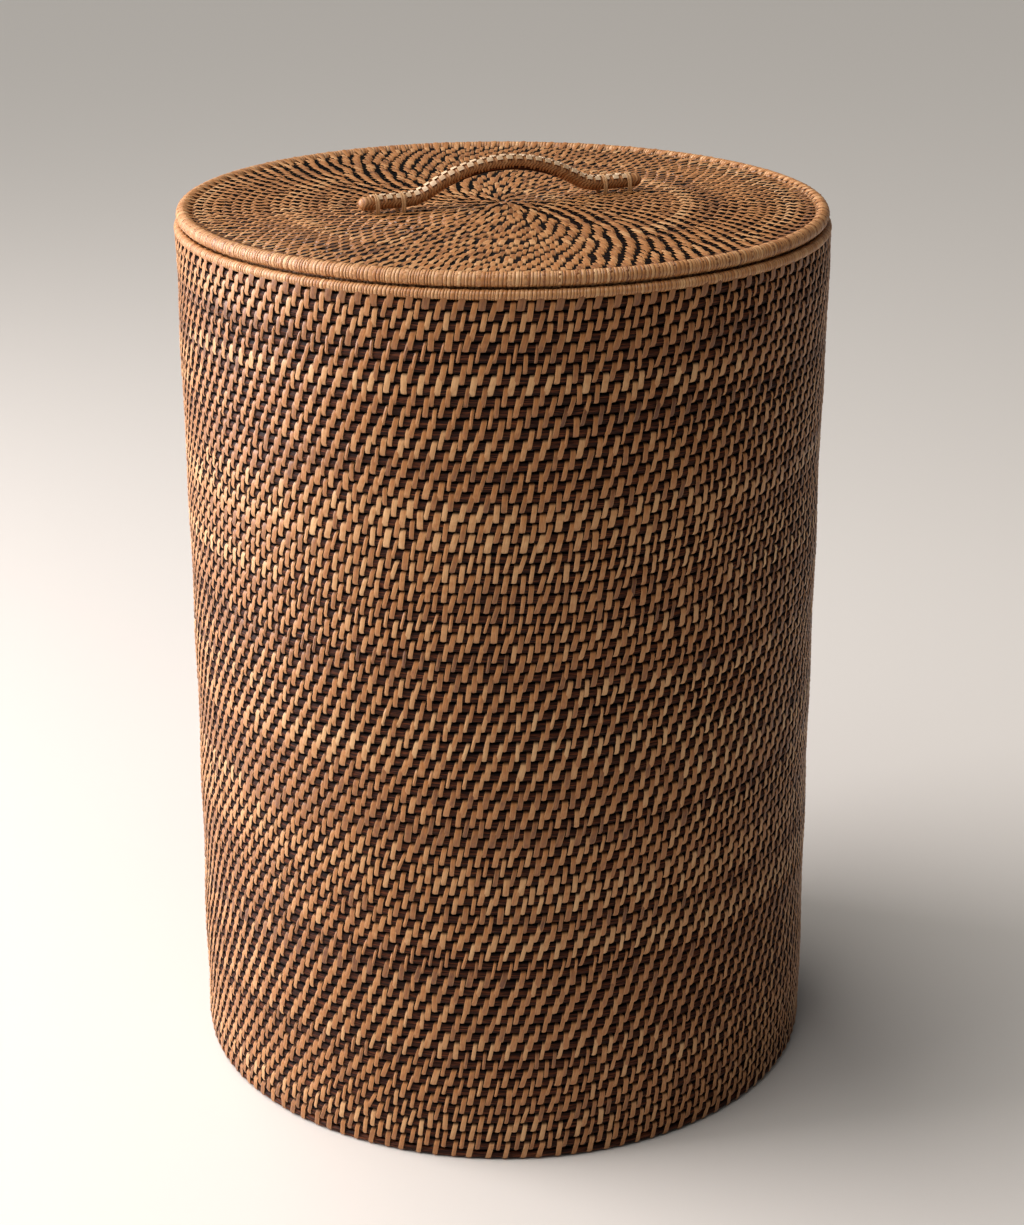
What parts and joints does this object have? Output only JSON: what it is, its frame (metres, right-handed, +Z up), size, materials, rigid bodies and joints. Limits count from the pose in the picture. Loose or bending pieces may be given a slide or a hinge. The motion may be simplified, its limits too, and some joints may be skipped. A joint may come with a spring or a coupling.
{
  "type": "lidded laundry basket",
  "caption": "Tall round laundry hamper of coiled, peel-bound rattan with a lift-off lid and an arched lid handle.",
  "frame": {"origin": "bottom centre of the hamper, on the floor it stands on", "axes": "+Z up along the hamper's axis, +X along the lid handle"},
  "size_m": [0.42, 0.42, 0.6025],
  "materials": {
    "rattan_core": "dark stained rattan core, satin",
    "rattan_peel": "honey brown rattan peel, soft gloss",
    "braid_peel": "pale peel woven over dark peel, soft gloss",
    "tie_peel": "pale rattan peel lashing, soft gloss"
  },
  "bodies": {
    "basket": {"base_coil": "rattan_core", "base_lashing": "rattan_peel", "foot_rod": "rattan_core", "foot_binding": "rattan_peel", "wall_coil": "rattan_core", "wall_lashing": "rattan_peel", "rim_rod": "rattan_core", "rim_wrap": "rattan_peel"},
    "lid": {"lid_coil": "rattan_core", "lid_lashing": "rattan_peel", "lid_rim_rod": "rattan_core", "lid_rim_wrap": "rattan_peel", "hoop_rods": "rattan_core", "hoop_wraps": "rattan_peel", "handle_core": "rattan_core", "handle_wrap": "rattan_peel", "handle_tips": "rattan_peel", "handle_braid": "braid_peel", "left_tip_tie": "tie_peel", "left_arch_tie": "tie_peel", "right_arch_tie": "tie_peel", "right_tip_tie": "tie_peel"}
  },
  "joints": [
    {"name": "lid_lift", "type": "slide", "parent": "basket", "child": "lid", "axis": [0, 0, 1], "range_m": [0, 0.3]}
  ]
}
